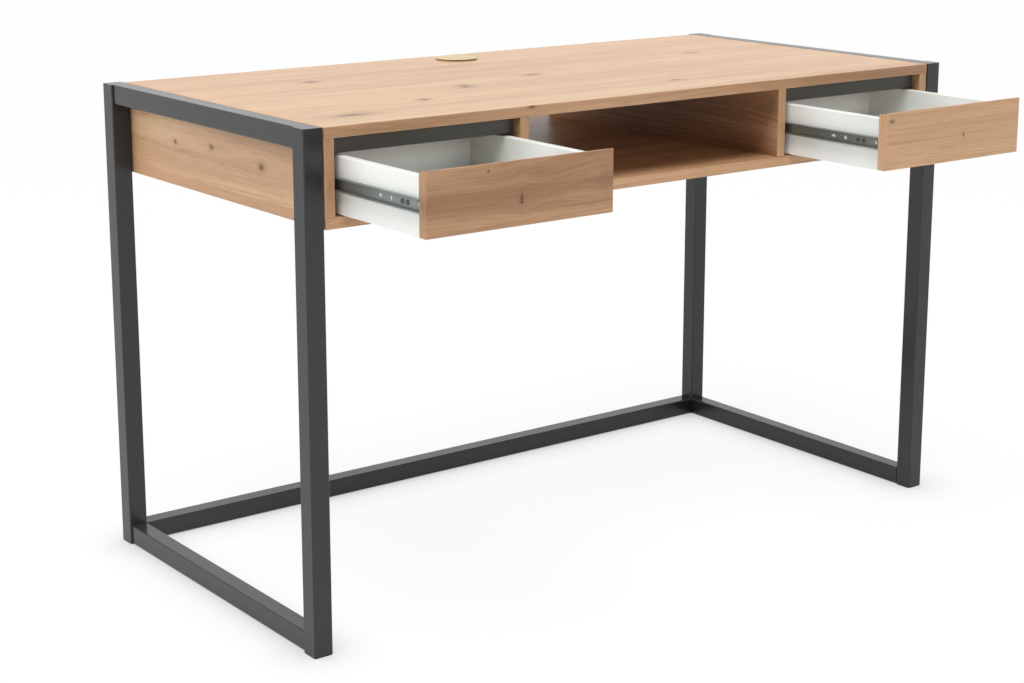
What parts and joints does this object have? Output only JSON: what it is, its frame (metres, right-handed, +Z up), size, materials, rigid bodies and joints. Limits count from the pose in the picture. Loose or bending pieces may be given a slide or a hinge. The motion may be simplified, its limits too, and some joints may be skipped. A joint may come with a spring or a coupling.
{
  "type": "writing desk",
  "caption": "Straight writing desk: steel loop frames carry an oak-look carcass with slide-mounted drawers at the ends, an open middle bay and a capped cable outlet.",
  "frame": {"origin": "on the floor under the middle of the steel frame's footprint", "axes": "+X to the sitter's right, +Y to the back of the desk, +Z up out of the desk top"},
  "size_m": [1.25, 0.8138, 0.754],
  "materials": {
    "frame_steel": "fine matt powder coat, anthracite",
    "oak_board": "oak-grain melamine on particle board, matt",
    "grip_board": "anthracite melamine on particle board, matt",
    "drawer_white": "white melamine on particle board, satin",
    "hardboard_white": "white lacquered hardboard, satin",
    "dowel_wood": "plain beech",
    "slide_zinc": "zinc-plated rolled sheet",
    "ball_steel": "polished",
    "fastener_zinc": "zinc-plated",
    "glide_plastic": "black, matt",
    "spacer_plastic": "black, matt",
    "outlet_plastic": "pale beige, satin"
  },
  "bodies": {
    "desk": {"bottom_panel": "oak_board", "cabinet_slide_screws": "fastener_zinc", "carcass_dowels": "dowel_wood", "foot_glides": "glide_plastic", "frame_bolts": "fastener_zinc", "frame_nuts": "fastener_zinc", "frame_spacers": "spacer_plastic", "left_back_panel": "oak_board", "left_bottom_rail": "frame_steel", "left_divider": "oak_board", "left_drawer_left_cabinet_slide": "slide_zinc", "left_drawer_right_cabinet_slide": "slide_zinc", "left_front_leg": "frame_steel", "left_grip_rail": "grip_board", "left_rear_leg": "frame_steel", "left_side_panel": "oak_board", "left_top_rail": "frame_steel", "outlet_sleeve": "outlet_plastic", "rear_stretcher": "frame_steel", "right_back_panel": "oak_board", "right_bottom_rail": "frame_steel", "right_divider": "oak_board", "right_drawer_left_cabinet_slide": "slide_zinc", "right_drawer_right_cabinet_slide": "slide_zinc", "right_front_leg": "frame_steel", "right_grip_rail": "grip_board", "right_rear_leg": "frame_steel", "right_side_panel": "oak_board", "right_top_rail": "frame_steel", "stretcher_screws": "fastener_zinc", "stretcher_spigots": "frame_steel", "top_panel": "oak_board"},
    "left_drawer": {"left_drawer_back": "drawer_white", "left_drawer_bottom": "hardboard_white", "left_drawer_dowels": "dowel_wood", "left_drawer_front": "oak_board", "left_drawer_left_drawer_slide": "slide_zinc", "left_drawer_left_side": "drawer_white", "left_drawer_right_drawer_slide": "slide_zinc", "left_drawer_right_side": "drawer_white", "left_drawer_slide_screws": "fastener_zinc"},
    "left_drawer_cages": {"left_drawer_left_ball_cage": "slide_zinc", "left_drawer_left_slide_balls": "ball_steel", "left_drawer_right_ball_cage": "slide_zinc", "left_drawer_right_slide_balls": "ball_steel"},
    "right_drawer": {"right_drawer_back": "drawer_white", "right_drawer_bottom": "hardboard_white", "right_drawer_dowels": "dowel_wood", "right_drawer_front": "oak_board", "right_drawer_left_drawer_slide": "slide_zinc", "right_drawer_left_side": "drawer_white", "right_drawer_right_drawer_slide": "slide_zinc", "right_drawer_right_side": "drawer_white", "right_drawer_slide_screws": "fastener_zinc"},
    "right_drawer_cages": {"right_drawer_left_ball_cage": "slide_zinc", "right_drawer_left_slide_balls": "ball_steel", "right_drawer_right_ball_cage": "slide_zinc", "right_drawer_right_slide_balls": "ball_steel"},
    "outlet_cap": {"outlet_cap": "outlet_plastic"}
  },
  "joints": [
    {"name": "left_drawer_slide", "type": "slide", "parent": "desk", "child": "left_drawer", "axis": [0, -1, 0], "range_m": [-0.212, 0]},
    {"name": "left_drawer_cage_slide", "type": "slide", "parent": "desk", "child": "left_drawer_cages", "axis": [0, -1, 0], "range_m": [-0.106, 0]},
    {"name": "right_drawer_slide", "type": "slide", "parent": "desk", "child": "right_drawer", "axis": [0, -1, 0], "range_m": [-0.212, 0]},
    {"name": "right_drawer_cage_slide", "type": "slide", "parent": "desk", "child": "right_drawer_cages", "axis": [0, -1, 0], "range_m": [-0.106, 0]},
    {"name": "outlet_cap_lift", "type": "slide", "parent": "desk", "child": "outlet_cap", "axis": [0, 0, 1], "range_m": [0, 0.02]}
  ],
  "couplings": [
    {"joint": "left_drawer_cage_slide", "follows": "left_drawer_slide", "ratio": 0.5},
    {"joint": "right_drawer_cage_slide", "follows": "right_drawer_slide", "ratio": 0.5}
  ]
}
